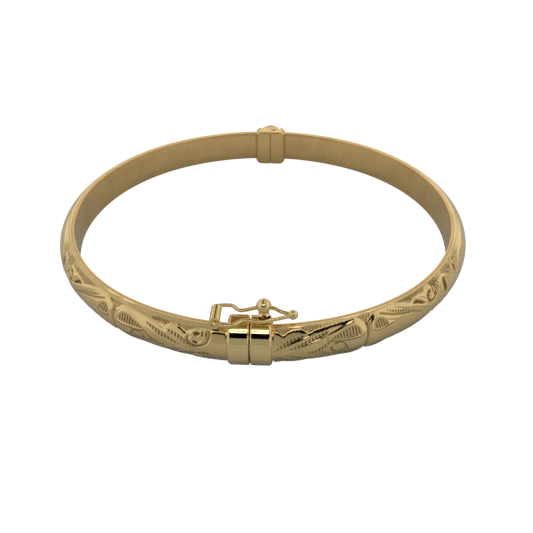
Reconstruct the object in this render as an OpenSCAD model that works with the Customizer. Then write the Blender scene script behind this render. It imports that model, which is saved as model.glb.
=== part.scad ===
// Hinged oval bangle bracelet, closed, lying flat.
// Frame in mm: origin under the middle of the oval, +X to the right, -Y to the clasp, +Z up.

/* [Oval] */
// Outer width of the band, side to side
outer_width = 66; // [62:0.5:72]
// How far the side arcs' centres stand out from the middle, which sets how oval it is
side_centre = 2.55; // [1:0.05:5]

/* [Band] */
// Height of the band from rim to rim
band_height = 5.6; // [4:0.1:8]
// Radial thickness of the whole band
band_depth = 2.66; // [2:0.02:4]
// How far the domed front rises over the rims
dome_depth = 1.85; // [1:0.05:2.4]
// Sheet thickness of the outer shell
shell_wall = 0.45; // [0.3:0.05:0.6]
// Sheet thickness of the inner liner
liner_wall = 0.5; // [0.3:0.05:0.6]

/* [End blocks] */
// Width of each clasp or hinge block along the band
block_width = 2.95; // [2.5:0.05:4]
// Height of the blocks
block_height = 7; // [6:0.1:9]
// Radial depth of the blocks
block_depth = 4.2; // [3.6:0.1:5]
// How far the blocks stand proud of the band's outer face
block_proud = 0.4; // [0.2:0.1:1]
// Rounding of the blocks' outer edges
block_round = 2; // [1:0.1:2.5]
// Rounding of the blocks' corners next to the band
shoulder_round = 0.6; // [0.3:0.05:1]
// Rounding of the blocks' corners at the parting line
seam_round = 0.25; // [0.1:0.05:0.5]
// Gap between the two halves at the parting line
seam_gap = 0.06; // [0.04:0.01:0.2]

/* [Clasp] */
// Height of the spring's fold axis over the underside of the blocks
fold_height = 4.9; // [4.6:0.1:5.2]
// Distance of the fold axis inside the box
fold_reach = 1.9; // [1.6:0.1:2.1]
// Thickness of the upper spring leaf
leaf_thickness = 0.35; // [0.25:0.05:0.4]
// Diameter of the thumb ball
thumb_ball_d = 1.96; // [1.5:0.02:2.4]
// Height of the thumb ball's centre over the underside of the blocks
thumb_ball_height = 9; // [8.8:0.1:10]
// Diameter of the thumb post
post_d = 0.6; // [0.4:0.05:0.8]

/* [Hinge] */
// Outer radius of the hinge knuckles
knuckle_r = 1.75; // [1.4:0.05:2]
// Diameter of the hinge pin
hinge_pin_d = 1; // [0.7:0.05:1.2]
// Height of the centre knuckle
centre_knuckle = 2.6; // [2:0.1:3.5]
// Widest opening the hinge blocks allow, degrees
open_angle = 70; // [45:1:75]

/* [Safety catch] */
// Diameter of the figure-eight wire
wire_d = 0.48; // [0.4:0.02:0.6]
// Height of the wire over the underside of the blocks
wire_height = 7.35; // [7.3:0.05:7.6]
// Outer radius of the pivot tube
tube_r = 0.7; // [0.55:0.05:0.9]
// Length of the pivot tube
tube_length = 3.2; // [2.4:0.1:3.6]
// Diameter of the ball at the wire's closed end
end_ball_d = 1.24; // [0.9:0.02:1.6]

/* [Hidden] */
// Curve fineness for previews
$fn = 96;
// Half width of the oval and the outer radius of its side arcs
half_x = outer_width / 2;
side_radius = half_x - side_centre;
// Angle from the X axis at which the side arcs meet the front and back arcs
join_angle = 60;
// Outer radius and centre offset of the front and back arcs, tangent to the side arcs
end_radius = side_radius + side_centre / cos(join_angle);
end_centre = side_centre * tan(join_angle);
half_y = end_radius - end_centre;
// Height of the band's middle
mid_z = block_height / 2;
half_band = band_height / 2;
// Radius of the dome's section, through both rims and the crown
dome_r = (half_band * half_band + dome_depth * dome_depth) / (2 * dome_depth);
// Outer and inner faces of the blocks
block_out = half_y + block_proud;
block_in = block_out - block_depth;
// A length longer than any cut needs
through = 40;

// Box cavity in the left block, and the pocket in the right block
cavity_wall = 0.45;
cavity_in = block_in + cavity_wall;
cavity_out = block_out - 0.9;
cavity_top = block_height - 0.55;
box_floor = 3.6;
box_depth = 2.5;
pocket_floor = 4.3;
pocket_depth = 2.5;

// Spring leaves, which run clear of the cavity's side walls
leaf_side = 0.1;
leaf_in = cavity_in + leaf_side;
leaf_out = cavity_out - leaf_side;
lower_leaf = 0.4;
fold_outer = fold_height - pocket_floor;
fold_bore = 0.32;
fold_bead = 0.27;
leaf_z = 5.4;
leaf_end = 2.35;
rise_from = 1.1;
hook_left = 1.15;
hook_width = 0.4;
hook_top = 6.1;
lip_width = 0.47;
lip_bottom = 5.95;

// Thumb post, and the slot it moves in
post_x = 1.75;
post_y = -28.05;
flare_r = 0.5;
flare_foot = block_height - 0.2;
flare_height = 0.6;
slot_left = 0.62;
slot_right = 0.85;
slot_front = 0.62;

// Hinge pin axis and running clearances
hinge_y = block_out - knuckle_r;
pin_run = 0.05;
knuckle_clear = 0.12;
knuckle_gap = 0.05;
relief_angle = open_angle / 2 + 3;
knuckle_low = mid_z - centre_knuckle / 2;
knuckle_high = mid_z + centre_knuckle / 2;

// Safety catch: pivot axis, tube and saddle
pivot_x = -4.5;
tube_y = -28;
tube_bore = wire_d / 2 + 0.05;
saddle_width = 0.9;
saddle_length = 1.3;
saddle_y = -29.1;
saddle_sink = 0.3;
// Centre line of the wire, front run from the pivot to the end ball
wire_front = [[-4.5, -30.12], [-2.25, -30.12], [-0.85, -29.02], [0.4, -29.15],
  [1.2, -29.36], [2.6, -29.36], [5.2, -28.1]];
// Back run from the pivot to the end ball
wire_back = [[-4.5, -26.08], [-2.4, -26.05], [-1.25, -27.22], [0.8, -26.5],
  [2.8, -26.45], [4, -27.3], [5.2, -27.75]];
end_ball = [5.5, -27.85];
bend_swell = 0.005;
wire_sides = 16;

shell_gold = [0.86, 0.74, 0.46];
liner_gold = [0.8, 0.68, 0.42];
block_gold = [0.88, 0.77, 0.5];
wire_gold = [0.9, 0.8, 0.54];
spring_gold = [0.78, 0.68, 0.46];

// Sweeps a section along the right half of the oval; x = 0 is the outer face, y = 0 the middle
module half_oval() {
  difference() {
    translate([0, 0, mid_z])
      union() {
        translate([0, end_centre, 0])
          rotate_extrude(angle = 90 - join_angle, start = -90)
            translate([end_radius, 0])
              children();
        translate([side_centre, 0, 0])
          rotate_extrude(angle = 2 * join_angle, start = -join_angle)
            translate([side_radius, 0])
              children();
        translate([0, -end_centre, 0])
          rotate_extrude(angle = 90 - join_angle, start = join_angle)
            translate([end_radius, 0])
              children();
      }
    translate([-block_width, -through, -through / 2])
      cube([2 * block_width, 2 * through, through]);
  }
}

// Circular dome on straight rims, drawn smaller by inset and back to a depth
module dome_section(inset, back) {
  intersection() {
    translate([-dome_r, 0])
      circle(r = dome_r - inset);
    translate([-back, inset - half_band])
      square([back, band_height - 2 * inset]);
  }
}

module shell_section() {
  difference() {
    dome_section(0, band_depth - liner_wall);
    dome_section(shell_wall, band_depth);
  }
}

module liner_section() {
  translate([-band_depth, -half_band])
    square([liner_wall, band_height]);
}

// Radial section of a block: flat inner side, rounded outer edges
module block_section() {
  translate([block_round, 0])
    square([block_depth - block_round, block_height]);
  translate([0, block_round])
    square([block_depth, block_height - 2 * block_round]);
  translate([block_round, block_round])
    circle(r = block_round);
  translate([block_round, block_height - block_round])
    circle(r = block_round);
}

// A block seen along the radius, seam side at x = 0
module block_face() {
  w = block_width - seam_gap / 2;
  translate([seam_round, 0])
    square([w - seam_round - shoulder_round, block_height]);
  translate([0, seam_round])
    square([seam_round, block_height - 2 * seam_round]);
  translate([w - shoulder_round, shoulder_round])
    square([shoulder_round, block_height - 2 * shoulder_round]);
  for (z = [seam_round, block_height - seam_round])
    translate([seam_round, z])
      circle(r = seam_round);
  for (z = [shoulder_round, block_height - shoulder_round])
    translate([w - shoulder_round, z])
      circle(r = shoulder_round);
}

// Prism of the block section across the parting line, on the clasp side
module block_prism(half_length) {
  translate([-half_length, -block_out, 0])
    rotate([90, 0, 90])
      linear_extrude(height = 2 * half_length)
        block_section();
}

// Right-hand solid block on the clasp side
module plain_block() {
  intersection() {
    block_prism(block_width + 1);
    translate([seam_gap / 2, -block_in + 1, 0])
      rotate([90, 0, 0])
        linear_extrude(height = block_depth + 2)
          block_face();
  }
}

// Box from the parting line into the right-hand block, clear of its inner and outer walls
module pocket(depth, floor_z) {
  translate([-1, -cavity_out, floor_z])
    cube([depth + 1, cavity_out - cavity_in, cavity_top - floor_z]);
}

// Right-hand hinge block, cut for its own knuckles and clear of the other half's
module hinge_block(own_low, own_high) {
  difference() {
    mirror([0, 1, 0])
      plain_block();
    translate([0, hinge_y, -1])
      linear_extrude(height = block_height + 2)
        polygon([[0, 0], [through * tan(relief_angle), through],
          [-through * tan(relief_angle), through]]);
    translate([0, hinge_y, -1])
      cylinder(r = knuckle_r, h = block_height + 2);
    if (own_low > 0) {
      translate([0, hinge_y, -1])
        cylinder(r = knuckle_r + knuckle_clear, h = 1 + own_low);
      translate([0, hinge_y, own_high])
        cylinder(r = knuckle_r + knuckle_clear, h = 1 + block_height - own_high);
    } else {
      translate([0, hinge_y, knuckle_low - knuckle_gap])
        cylinder(r = knuckle_r + knuckle_clear, h = centre_knuckle + 2 * knuckle_gap);
    }
  }
}

// Knuckle tube between two heights, trimmed to the blocks' outer rounding
module knuckle(low, high, bore_r) {
  intersection() {
    translate([0, hinge_y, low])
      difference() {
        cylinder(r = knuckle_r, h = high - low);
        translate([0, 0, -1])
          cylinder(r = bore_r, h = high - low + 2);
      }
    mirror([0, 1, 0])
      block_prism(knuckle_r + 1);
  }
}

// Round rod between two points of the wire's plane
module wire_run(a, b) {
  d = b - a;
  translate([a[0], a[1], wire_height])
    rotate([0, 0, atan2(d[1], d[0])])
      rotate([0, 90, 0])
        cylinder(r = wire_d / 2, h = norm(d), $fn = wire_sides);
}

// Each bend is a ball a hair thicker than the straight runs
module wire_bend(p) {
  translate([p[0], p[1], wire_height])
    sphere(r = wire_d / 2 + bend_swell, $fn = wire_sides);
}

module left_outer_shell() {
  color(shell_gold)
    rotate([0, 0, 180])
      half_oval()
        shell_section();
}

module right_outer_shell() {
  color(shell_gold)
    half_oval()
      shell_section();
}

module left_inner_liner() {
  color(liner_gold)
    rotate([0, 0, 180])
      half_oval()
        liner_section();
}

module right_inner_liner() {
  color(liner_gold)
    half_oval()
      liner_section();
}

// Left clasp block, hollowed as the box that takes the tongue
module clasp_box() {
  color(block_gold)
    mirror([1, 0, 0])
      difference() {
        plain_block();
        pocket(box_depth, box_floor);
      }
}

// Strip across the top of the box mouth that the tongue hooks behind
module box_catch_lip() {
  color(block_gold)
    translate([-seam_gap / 2 - lip_width, -cavity_out, lip_bottom])
      cube([lip_width, cavity_out - cavity_in, cavity_top - lip_bottom]);
}

// Right clasp block: pocket for the spring, slot on top for the thumb post
module tongue_block() {
  color(block_gold)
    difference() {
      plain_block();
      pocket(pocket_depth, pocket_floor);
      translate([post_x - slot_left, post_y - slot_front, cavity_top - 1])
        cube([slot_left + slot_right, block_depth, 3]);
    }
}

// Lower leaf of the folded spring with the outer half of the fold
module tongue_lower_leaf() {
  color(spring_gold)
    difference() {
      union() {
        translate([-fold_reach, -leaf_out, pocket_floor])
          cube([pocket_depth + fold_reach, leaf_out - leaf_in, lower_leaf]);
        translate([-fold_reach, -leaf_in, fold_height])
          rotate([90, 0, 0])
            cylinder(r = fold_outer, h = leaf_out - leaf_in);
      }
      translate([-fold_reach, -leaf_in + 1, fold_height])
        rotate([90, 0, 0])
          cylinder(r = fold_bore, h = leaf_out - leaf_in + 2);
      translate([-fold_reach, -leaf_out - 1, pocket_floor + lower_leaf])
        cube([pocket_depth + fold_reach + 1, leaf_out - leaf_in + 2, 3]);
    }
}

// Upper leaf: bead in the fold, rise, hook behind the lip, and the arm under the slot
module tongue_upper_leaf() {
  color(spring_gold)
    union() {
      translate([-fold_reach, -leaf_in, fold_height])
        rotate([90, 0, 0])
          cylinder(r = fold_bead, h = leaf_out - leaf_in);
      translate([0, -leaf_in, 0])
        rotate([90, 0, 0])
          linear_extrude(height = leaf_out - leaf_in)
            polygon([[-fold_reach - 0.12, fold_height + 0.12], [-fold_reach + 0.12, fold_height - 0.12],
              [-rise_from + 0.12, leaf_z], [leaf_end, leaf_z], [leaf_end, leaf_z + leaf_thickness],
              [hook_width - hook_left, leaf_z + leaf_thickness], [hook_width - hook_left, hook_top],
              [hook_width - hook_left - 0.15, hook_top], [-hook_left, hook_top - 0.15],
              [-hook_left, leaf_z + leaf_thickness]]);
    }
}

module thumb_post() {
  color(wire_gold)
    translate([post_x, post_y, 0])
      union() {
        translate([0, 0, leaf_z + leaf_thickness])
          cylinder(r = post_d / 2, h = thumb_ball_height - thumb_ball_d / 2 + 0.1 - leaf_z - leaf_thickness);
        translate([0, 0, flare_foot])
          cylinder(r1 = flare_r, r2 = post_d / 2, h = flare_height);
      }
}

// Ball drilled to sit over the top of the post
module thumb_ball() {
  color(wire_gold)
    translate([post_x, post_y, thumb_ball_height])
      difference() {
        sphere(r = thumb_ball_d / 2);
        translate([0, 0, -thumb_ball_d])
          cylinder(r = post_d / 2, h = thumb_ball_d / 2 + 0.1);
      }
}

module left_hinge_block() {
  color(block_gold)
    mirror([1, 0, 0])
      hinge_block(0, block_height);
}

module right_hinge_block() {
  color(block_gold)
    hinge_block(knuckle_low, knuckle_high);
}

module hinge_knuckle_upper() {
  color(block_gold)
    knuckle(knuckle_high + knuckle_gap, block_height, hinge_pin_d / 2);
}

module hinge_knuckle_lower() {
  color(block_gold)
    knuckle(0, knuckle_low - knuckle_gap, hinge_pin_d / 2);
}

module hinge_knuckle_centre() {
  color(block_gold)
    knuckle(knuckle_low, knuckle_high, hinge_pin_d / 2 + pin_run);
}

// Pin through all three knuckles, ends filed flush
module hinge_pin() {
  color(spring_gold)
    translate([0, hinge_y, 0])
      cylinder(r = hinge_pin_d / 2, h = block_height);
}

module safety_pivot_tube() {
  color(wire_gold)
    translate([pivot_x, tube_y + tube_length / 2, wire_height])
      rotate([90, 0, 0])
        difference() {
          cylinder(r = tube_r, h = tube_length);
          translate([0, 0, -1])
            cylinder(r = tube_bore, h = tube_length + 2);
        }
}

// Solder saddle between the band's rim and the tube
module tube_saddle() {
  color(wire_gold)
    difference() {
      translate([pivot_x - saddle_width / 2, saddle_y - saddle_length / 2, mid_z + half_band])
        cube([saddle_width, saddle_length, wire_height - tube_r + saddle_sink - mid_z - half_band]);
      translate([pivot_x, tube_y + tube_length, wire_height])
        rotate([90, 0, 0])
          cylinder(r = tube_r, h = 2 * tube_length);
    }
}

// Figure-eight of round wire: axle through the tube, waist at the parting line, loop round the post
module safety_wire() {
  color(wire_gold)
    difference() {
      union() {
        wire_run(wire_front[0], wire_back[0]);
        for (i = [0:len(wire_front) - 2])
          wire_run(wire_front[i], wire_front[i + 1]);
        for (i = [0:len(wire_back) - 2])
          wire_run(wire_back[i], wire_back[i + 1]);
        for (i = [0:len(wire_front) - 2])
          wire_bend(wire_front[i]);
        for (i = [0:len(wire_back) - 2])
          wire_bend(wire_back[i]);
      }
      translate([end_ball[0], end_ball[1], wire_height])
        sphere(r = end_ball_d / 2);
    }
}

module safety_end_ball() {
  color(wire_gold)
    translate([end_ball[0], end_ball[1], wire_height])
      sphere(r = end_ball_d / 2);
}

left_outer_shell();
left_inner_liner();
clasp_box();
box_catch_lip();
left_hinge_block();
hinge_knuckle_upper();
hinge_knuckle_lower();
hinge_pin();
safety_pivot_tube();
tube_saddle();
right_outer_shell();
right_inner_liner();
tongue_block();
tongue_lower_leaf();
right_hinge_block();
hinge_knuckle_centre();
tongue_upper_leaf();
thumb_post();
thumb_ball();
safety_wire();
safety_end_ball();
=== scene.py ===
import math
import bpy
import bmesh
import numpy as np
from mathutils import Matrix, Vector


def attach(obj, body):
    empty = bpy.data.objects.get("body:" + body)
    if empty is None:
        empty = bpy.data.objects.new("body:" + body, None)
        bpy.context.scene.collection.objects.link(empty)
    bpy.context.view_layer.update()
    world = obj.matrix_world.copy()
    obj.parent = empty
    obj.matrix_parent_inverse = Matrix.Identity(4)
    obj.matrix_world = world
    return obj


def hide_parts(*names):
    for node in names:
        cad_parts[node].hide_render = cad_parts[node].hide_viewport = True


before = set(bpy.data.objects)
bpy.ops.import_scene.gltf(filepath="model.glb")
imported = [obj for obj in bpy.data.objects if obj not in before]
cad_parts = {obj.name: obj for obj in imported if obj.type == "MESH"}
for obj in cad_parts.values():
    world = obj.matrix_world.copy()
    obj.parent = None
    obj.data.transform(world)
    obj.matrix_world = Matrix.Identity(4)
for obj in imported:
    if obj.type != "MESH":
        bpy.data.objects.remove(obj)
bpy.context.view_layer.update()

mm = 0.001
sharpAngle = math.radians(38)  # edges that turn further than this stay crisp
scene = bpy.context.scene

# the oval that every band piece follows: a front arc, a side arc and a back arc, tangent to each other
oval = {
    "endRadius": 35.55, "endCentre": 4.41673, "sideRadius": 30.45, "sideCentre": 2.55,
    "joinAngle": 60.0, "midHeight": 3.5, "startX": 2.75,
}
frontLength = oval["endRadius"] * math.radians(90 - oval["joinAngle"])
sideLength = oval["sideRadius"] * math.radians(2 * oval["joinAngle"])


def linkObject(name, data):
    made = bpy.data.objects.new(name, data)
    scene.collection.objects.link(made)
    return made


def newObject(name, bm, smooth=True):
    # turns a bmesh in millimetres into a finished object at the origin
    bmesh.ops.recalc_face_normals(bm, faces=bm.faces[:])
    bmesh.ops.scale(bm, vec=Vector((mm, mm, mm)), verts=bm.verts[:])
    mesh = bpy.data.meshes.new(name)
    bm.to_mesh(mesh)
    bm.free()
    if smooth:
        mesh.polygons.foreach_set("use_smooth", [True] * len(mesh.polygons))
    return linkObject(name, mesh)


def finish(piece, body, material, node):
    # the embossed shells and the round wire stay smooth all over
    if material is not embossedGold and piece.name != "safetyWire":
        piece.data.set_sharp_from_angle(angle=sharpAngle)
    piece.data.materials.clear()
    piece.data.materials.append(material)
    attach(piece, body)
    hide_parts(node)


def applyModifiers(piece):
    graph = bpy.context.evaluated_depsgraph_get()
    done = bpy.data.meshes.new_from_object(piece.evaluated_get(graph))
    old = piece.data
    piece.modifiers.clear()
    piece.data = done
    bpy.data.meshes.remove(old)
    done.name = piece.name


def cut(piece, cutters):
    for cutter in cutters:
        mod = piece.modifiers.new("cut", "BOOLEAN")
        mod.operation = "DIFFERENCE"
        mod.solver = "EXACT"
        mod.object = cutter
    applyModifiers(piece)
    for cutter in cutters:
        mesh = cutter.data
        bpy.data.objects.remove(cutter)
        bpy.data.meshes.remove(mesh)


def boxBetween(low, high):
    bm = bmesh.new()
    bmesh.ops.create_cube(bm, size=1.0)
    size = [h - l for l, h in zip(low, high)]
    centre = [(h + l) / 2 for l, h in zip(low, high)]
    bmesh.ops.scale(bm, vec=Vector(size), verts=bm.verts[:])
    bmesh.ops.translate(bm, vec=Vector(centre), verts=bm.verts[:])
    return bm


def boxCutter(low, high):
    return newObject("cutter", boxBetween(low, high), smooth=False)


def prismCutter(corners, along):
    # a flat outline drawn out along a vector
    bm = bmesh.new()
    face = bm.faces.new([bm.verts.new(corner) for corner in corners])
    made = bmesh.ops.extrude_face_region(bm, geom=[face])["geom"]
    bmesh.ops.translate(bm, vec=along, verts=[v for v in made if isinstance(v, bmesh.types.BMVert)])
    return newObject("cutter", bm, smooth=False)


def roundOff(bm, geom, offset, segments, affect="VERTICES"):
    bmesh.ops.bevel(bm, geom=geom, offset=offset, offset_type="OFFSET", segments=segments,
                    profile=0.5, affect=affect, material=-1)


# tones of the gold, the sizes of its blotches, hair scratches and grain, and the roughness and painted shade of its
# struck hollows; the deep tone is used for both the blotches and the painted shade
goldTones = {
    "light": (0.92, 0.72, 0.335, 1), "deep": (0.19, 0.115, 0.04, 1),
    "blotchScale": 260.0, "scratchScale": 2600.0, "grainScale": 7000.0, "grainDepth": 0.00003,
    "hollowShadeStrength": 0.95, "hollowRoughness": 0.22, "blotchRoughness": 0.05,
}


def makeGroup(name, inputs, outputs):
    group = bpy.data.node_groups.new(name, "ShaderNodeTree")
    for label, kind, value in inputs:
        socket = group.interface.new_socket(name=label, in_out="INPUT", socket_type=kind)
        if value is not None:
            socket.default_value = value
    for label, kind in outputs:
        group.interface.new_socket(name=label, in_out="OUTPUT", socket_type=kind)
    return group


def addNode(tree, kind, **values):
    node = tree.nodes.new(kind)
    for key, value in values.items():
        if key.startswith("in_"):
            node.inputs[key[3:].replace("_", " ")].default_value = value
        else:
            setattr(node, key, value)
    return node


def mathNode(tree, operation, first, second, clamp=False):
    node = tree.nodes.new("ShaderNodeMath")
    node.operation = operation
    node.use_clamp = clamp
    for socket, value in zip(node.inputs, (first, second)):
        if isinstance(value, (int, float)):
            socket.default_value = value
        else:
            tree.links.new(value, socket)
    return node.outputs[0]


def buildGoldFinish():
    # colour, roughness and fine height of worn gold; the hollow mask is 1 in the struck hollows, where it paints
    # shade with the deep tone and adds roughness
    g = makeGroup("goldFinish", [
        ("Vector", "NodeSocketVector", None), ("Light", "NodeSocketColor", goldTones["light"]),
        ("Deep", "NodeSocketColor", goldTones["deep"]), ("HollowShadeMask", "NodeSocketFloat", 0.0),
        ("Blotch", "NodeSocketFloat", 0.25), ("Roughness", "NodeSocketFloat", 0.12),
        ("Scratches", "NodeSocketFloat", 0.1),
    ], [("Color", "NodeSocketColor"), ("Roughness", "NodeSocketFloat"), ("Height", "NodeSocketFloat")])
    inn = g.nodes.new("NodeGroupInput")
    out = g.nodes.new("NodeGroupOutput")
    blotch = addNode(g, "ShaderNodeTexNoise", in_Scale=goldTones["blotchScale"], in_Detail=3.0)
    g.links.new(inn.outputs["Vector"], blotch.inputs["Vector"])
    soft = addNode(g, "ShaderNodeMapRange", in_From_Min=0.35, in_From_Max=0.7)
    g.links.new(blotch.outputs["Fac"], soft.inputs["Value"])
    stretch = addNode(g, "ShaderNodeMapping", in_Rotation=(0.3, 0.5, 0.8), in_Scale=(1.0, 0.06, 0.3))
    g.links.new(inn.outputs["Vector"], stretch.inputs["Vector"])
    hair = addNode(g, "ShaderNodeTexNoise", in_Scale=goldTones["scratchScale"], in_Detail=2.0)
    g.links.new(stretch.outputs["Vector"], hair.inputs["Vector"])
    line = addNode(g, "ShaderNodeMapRange", in_From_Min=0.56, in_From_Max=0.68)
    g.links.new(hair.outputs["Fac"], line.inputs["Value"])
    grain = addNode(g, "ShaderNodeTexNoise", in_Scale=goldTones["grainScale"], in_Detail=2.0)
    g.links.new(inn.outputs["Vector"], grain.inputs["Vector"])
    # blotches are the gold's own uneven tone; the hollow mask adds painted shade; both mix the deep tone in
    shade = mathNode(g, "MULTIPLY", soft.outputs[0], inn.outputs["Blotch"])
    paintedShade = mathNode(g, "MULTIPLY", inn.outputs["HollowShadeMask"], goldTones["hollowShadeStrength"])
    amount = mathNode(g, "ADD", shade, paintedShade, clamp=True)
    mix = addNode(g, "ShaderNodeMix", data_type="RGBA")
    g.links.new(amount, mix.inputs["Factor"])
    g.links.new(inn.outputs["Light"], mix.inputs[6])
    g.links.new(inn.outputs["Deep"], mix.inputs[7])
    g.links.new(mix.outputs[2], out.inputs["Color"])
    rough = mathNode(g, "MULTIPLY", inn.outputs["HollowShadeMask"], goldTones["hollowRoughness"])
    rough = mathNode(g, "ADD", rough, inn.outputs["Roughness"])
    scratch = mathNode(g, "MULTIPLY", line.outputs[0], inn.outputs["Scratches"])
    rough = mathNode(g, "ADD", rough, scratch)
    dusty = mathNode(g, "MULTIPLY", soft.outputs[0], goldTones["blotchRoughness"])
    g.links.new(mathNode(g, "ADD", rough, dusty, clamp=True), out.inputs["Roughness"])
    low = mathNode(g, "MULTIPLY", grain.outputs["Fac"], 0.5)
    g.links.new(mathNode(g, "SUBTRACT", low, scratch), out.inputs["Height"])
    return g


goldFinish = buildGoldFinish()


def goldMaterial(name, roughness, blotch, scratches, bump, light=None, recessed=False):
    mat = bpy.data.materials.new(name)
    mat.use_nodes = True
    tree = mat.node_tree
    shader = tree.nodes["Principled BSDF"]
    shader.inputs["Metallic"].default_value = 1.0
    coords = tree.nodes.new("ShaderNodeTexCoord")
    fin = tree.nodes.new("ShaderNodeGroup")
    fin.node_tree = goldFinish
    tree.links.new(coords.outputs["Object"], fin.inputs["Vector"])
    fin.inputs["Light"].default_value = light or goldTones["light"]
    fin.inputs["Deep"].default_value = goldTones["deep"]
    fin.inputs["Blotch"].default_value = blotch
    fin.inputs["Roughness"].default_value = roughness
    fin.inputs["Scratches"].default_value = scratches
    # the shade painted into the struck hollows comes in from a mesh attribute
    if recessed:
        mark = tree.nodes.new("ShaderNodeAttribute")
        mark.attribute_name = "hollowShadeMask"
        tree.links.new(mark.outputs["Fac"], fin.inputs["HollowShadeMask"])
    tree.links.new(fin.outputs["Color"], shader.inputs["Base Color"])
    tree.links.new(fin.outputs["Roughness"], shader.inputs["Roughness"])
    lift = tree.nodes.new("ShaderNodeBump")
    lift.inputs["Strength"].default_value = bump
    lift.inputs["Distance"].default_value = goldTones["grainDepth"]
    tree.links.new(fin.outputs["Height"], lift.inputs["Height"])
    tree.links.new(lift.outputs["Normal"], shader.inputs["Normal"])
    return mat


# the embossed gold darkens its struck hollows with painted shade
embossedGold = goldMaterial("embossedGold", roughness=0.09, blotch=0.10, scratches=0.08, bump=0.12,
                            light=(0.92, 0.68, 0.31, 1), recessed=True)
linerGold = goldMaterial("linerGold", roughness=0.22, blotch=0.16, scratches=0.06, bump=0.03,
                         light=(0.87, 0.59, 0.245, 1))
polishedGold = goldMaterial("polishedGold", roughness=0.035, blotch=0.05, scratches=0.05, bump=0.05)
hingeGold = goldMaterial("hingeGold", roughness=0.07, blotch=0.08, scratches=0.05, bump=0.05,
                         light=(0.84, 0.58, 0.23, 1))
wireGold = goldMaterial("wireGold", roughness=0.09, blotch=0.08, scratches=0.02, bump=0.01)
springGold = goldMaterial("springGold", roughness=0.30, blotch=0.3, scratches=0.15, bump=0.4,
                          light=(0.82, 0.62, 0.33, 1))
print("materials ready")

# the hollow band's section, and how finely it is stepped across and round the oval
band = {
    "halfHeight": 2.8, "depth": 2.66, "dome": 1.85, "liner": 0.5, "edgeRound": 0.06, "seamRound": 0.02,
    "acrossSteps": 104, "upperShare": 0.62, "patternStep": 0.076, "patternLength": 46.0, "plainStep": 0.45,
    "linerRow": 1.4, "linerEndSteps": 48, "linerSideSteps": 160,
}
band["domeRadius"] = (band["halfHeight"] ** 2 + band["dome"] ** 2) / (2 * band["dome"])


def domeCurve():
    # the dome's section from the lower rim to the upper rim: depth below the crown, height, distance, normal
    radius, steps = band["domeRadius"], band["acrossSteps"]
    end = radius * math.asin(band["halfHeight"] / radius)
    upper = round(steps * band["upperShare"])  # the upper half is seen most and gets the finer steps
    lowerPart = np.linspace(-end, 0, steps - upper, endpoint=False)
    t = np.concatenate([lowerPart, np.linspace(0, end, upper + 1)])
    turn = t / radius
    return radius * (1 - np.cos(turn)), radius * np.sin(turn), t, np.cos(turn), np.sin(turn)


domeDepth, domeZ, domeT, domeOut, domeUp = domeCurve()


def sweepHalf(left, loop, frontSteps, sideSplit, backSteps):
    # sweeps a section of (depth, height) points round the right half of the oval, and mirrors it for the left
    bm = bmesh.new()
    first = math.asin(oval["startX"] / oval["endRadius"])
    verts = [bm.verts.new((oval["endRadius"] - d, 0, z)) for d, z in loop]
    edges = [bm.edges.new((a, b)) for a, b in zip(verts, verts[1:] + verts[:1])]
    turn = Matrix.Rotation(-math.pi / 2 + first, 3, "Z")
    bmesh.ops.rotate(bm, verts=verts, cent=(0, 0, 0), matrix=turn)
    bmesh.ops.translate(bm, vec=(0, oval["endCentre"], 0), verts=verts)
    join = math.radians(oval["joinAngle"])
    legs = [((0, oval["endCentre"], 0), math.pi / 2 - join - first, frontSteps)]
    for share, steps in sideSplit:
        legs.append(((oval["sideCentre"], 0, 0), 2 * join * share, steps))
    legs.append(((0, -oval["endCentre"], 0), math.pi / 2 - join - first, backSteps))
    geom = verts + edges
    start = edges
    for centre, angle, steps in legs:
        done = bmesh.ops.spin(bm, geom=geom, cent=centre, axis=(0, 0, 1), angle=angle, steps=steps)
        geom = done["geom_last"]
    end = [e for e in geom if isinstance(e, bmesh.types.BMEdge)]
    bmesh.ops.holes_fill(bm, edges=start, sides=0)
    bmesh.ops.holes_fill(bm, edges=end, sides=0)
    bmesh.ops.translate(bm, vec=(0, 0, oval["midHeight"]), verts=bm.verts[:])
    if left:
        bmesh.ops.scale(bm, vec=Vector((-1, 1, 1)), verts=bm.verts[:])
    return bm


def bandPlace(xyz):
    # distance along the oval from the clasp and depth below the crown, for points of the right half in millimetres
    x, y = xyz[:, 0], xyz[:, 1]
    join = math.radians(oval["joinAngle"])
    sideAngle = np.arctan2(y, x - oval["sideCentre"])
    sideR = np.hypot(x - oval["sideCentre"], y)
    frontAngle = np.arctan2(y - oval["endCentre"], x) + math.pi / 2
    frontR = np.hypot(x, y - oval["endCentre"])
    backAngle = np.arctan2(y + oval["endCentre"], x) - join
    backR = np.hypot(x, y + oval["endCentre"])
    onFront, onBack = sideAngle < -join, sideAngle > join
    s = frontLength + (sideAngle + join) * oval["sideRadius"]
    s = np.where(onFront, frontAngle * oval["endRadius"], s)
    s = np.where(onBack, frontLength + sideLength + backAngle * oval["endRadius"], s)
    depth = np.where(onFront, oval["endRadius"] - frontR, oval["sideRadius"] - sideR)
    depth = np.where(onBack, oval["endRadius"] - backR, depth)
    cx = np.where(onFront | onBack, 0.0, oval["sideCentre"])
    cy = np.where(onFront, oval["endCentre"], np.where(onBack, -oval["endCentre"], 0.0))
    rad = np.hypot(x - cx, y - cy)
    return s, depth, (x - cx) / rad, (y - cy) / rad


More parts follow.
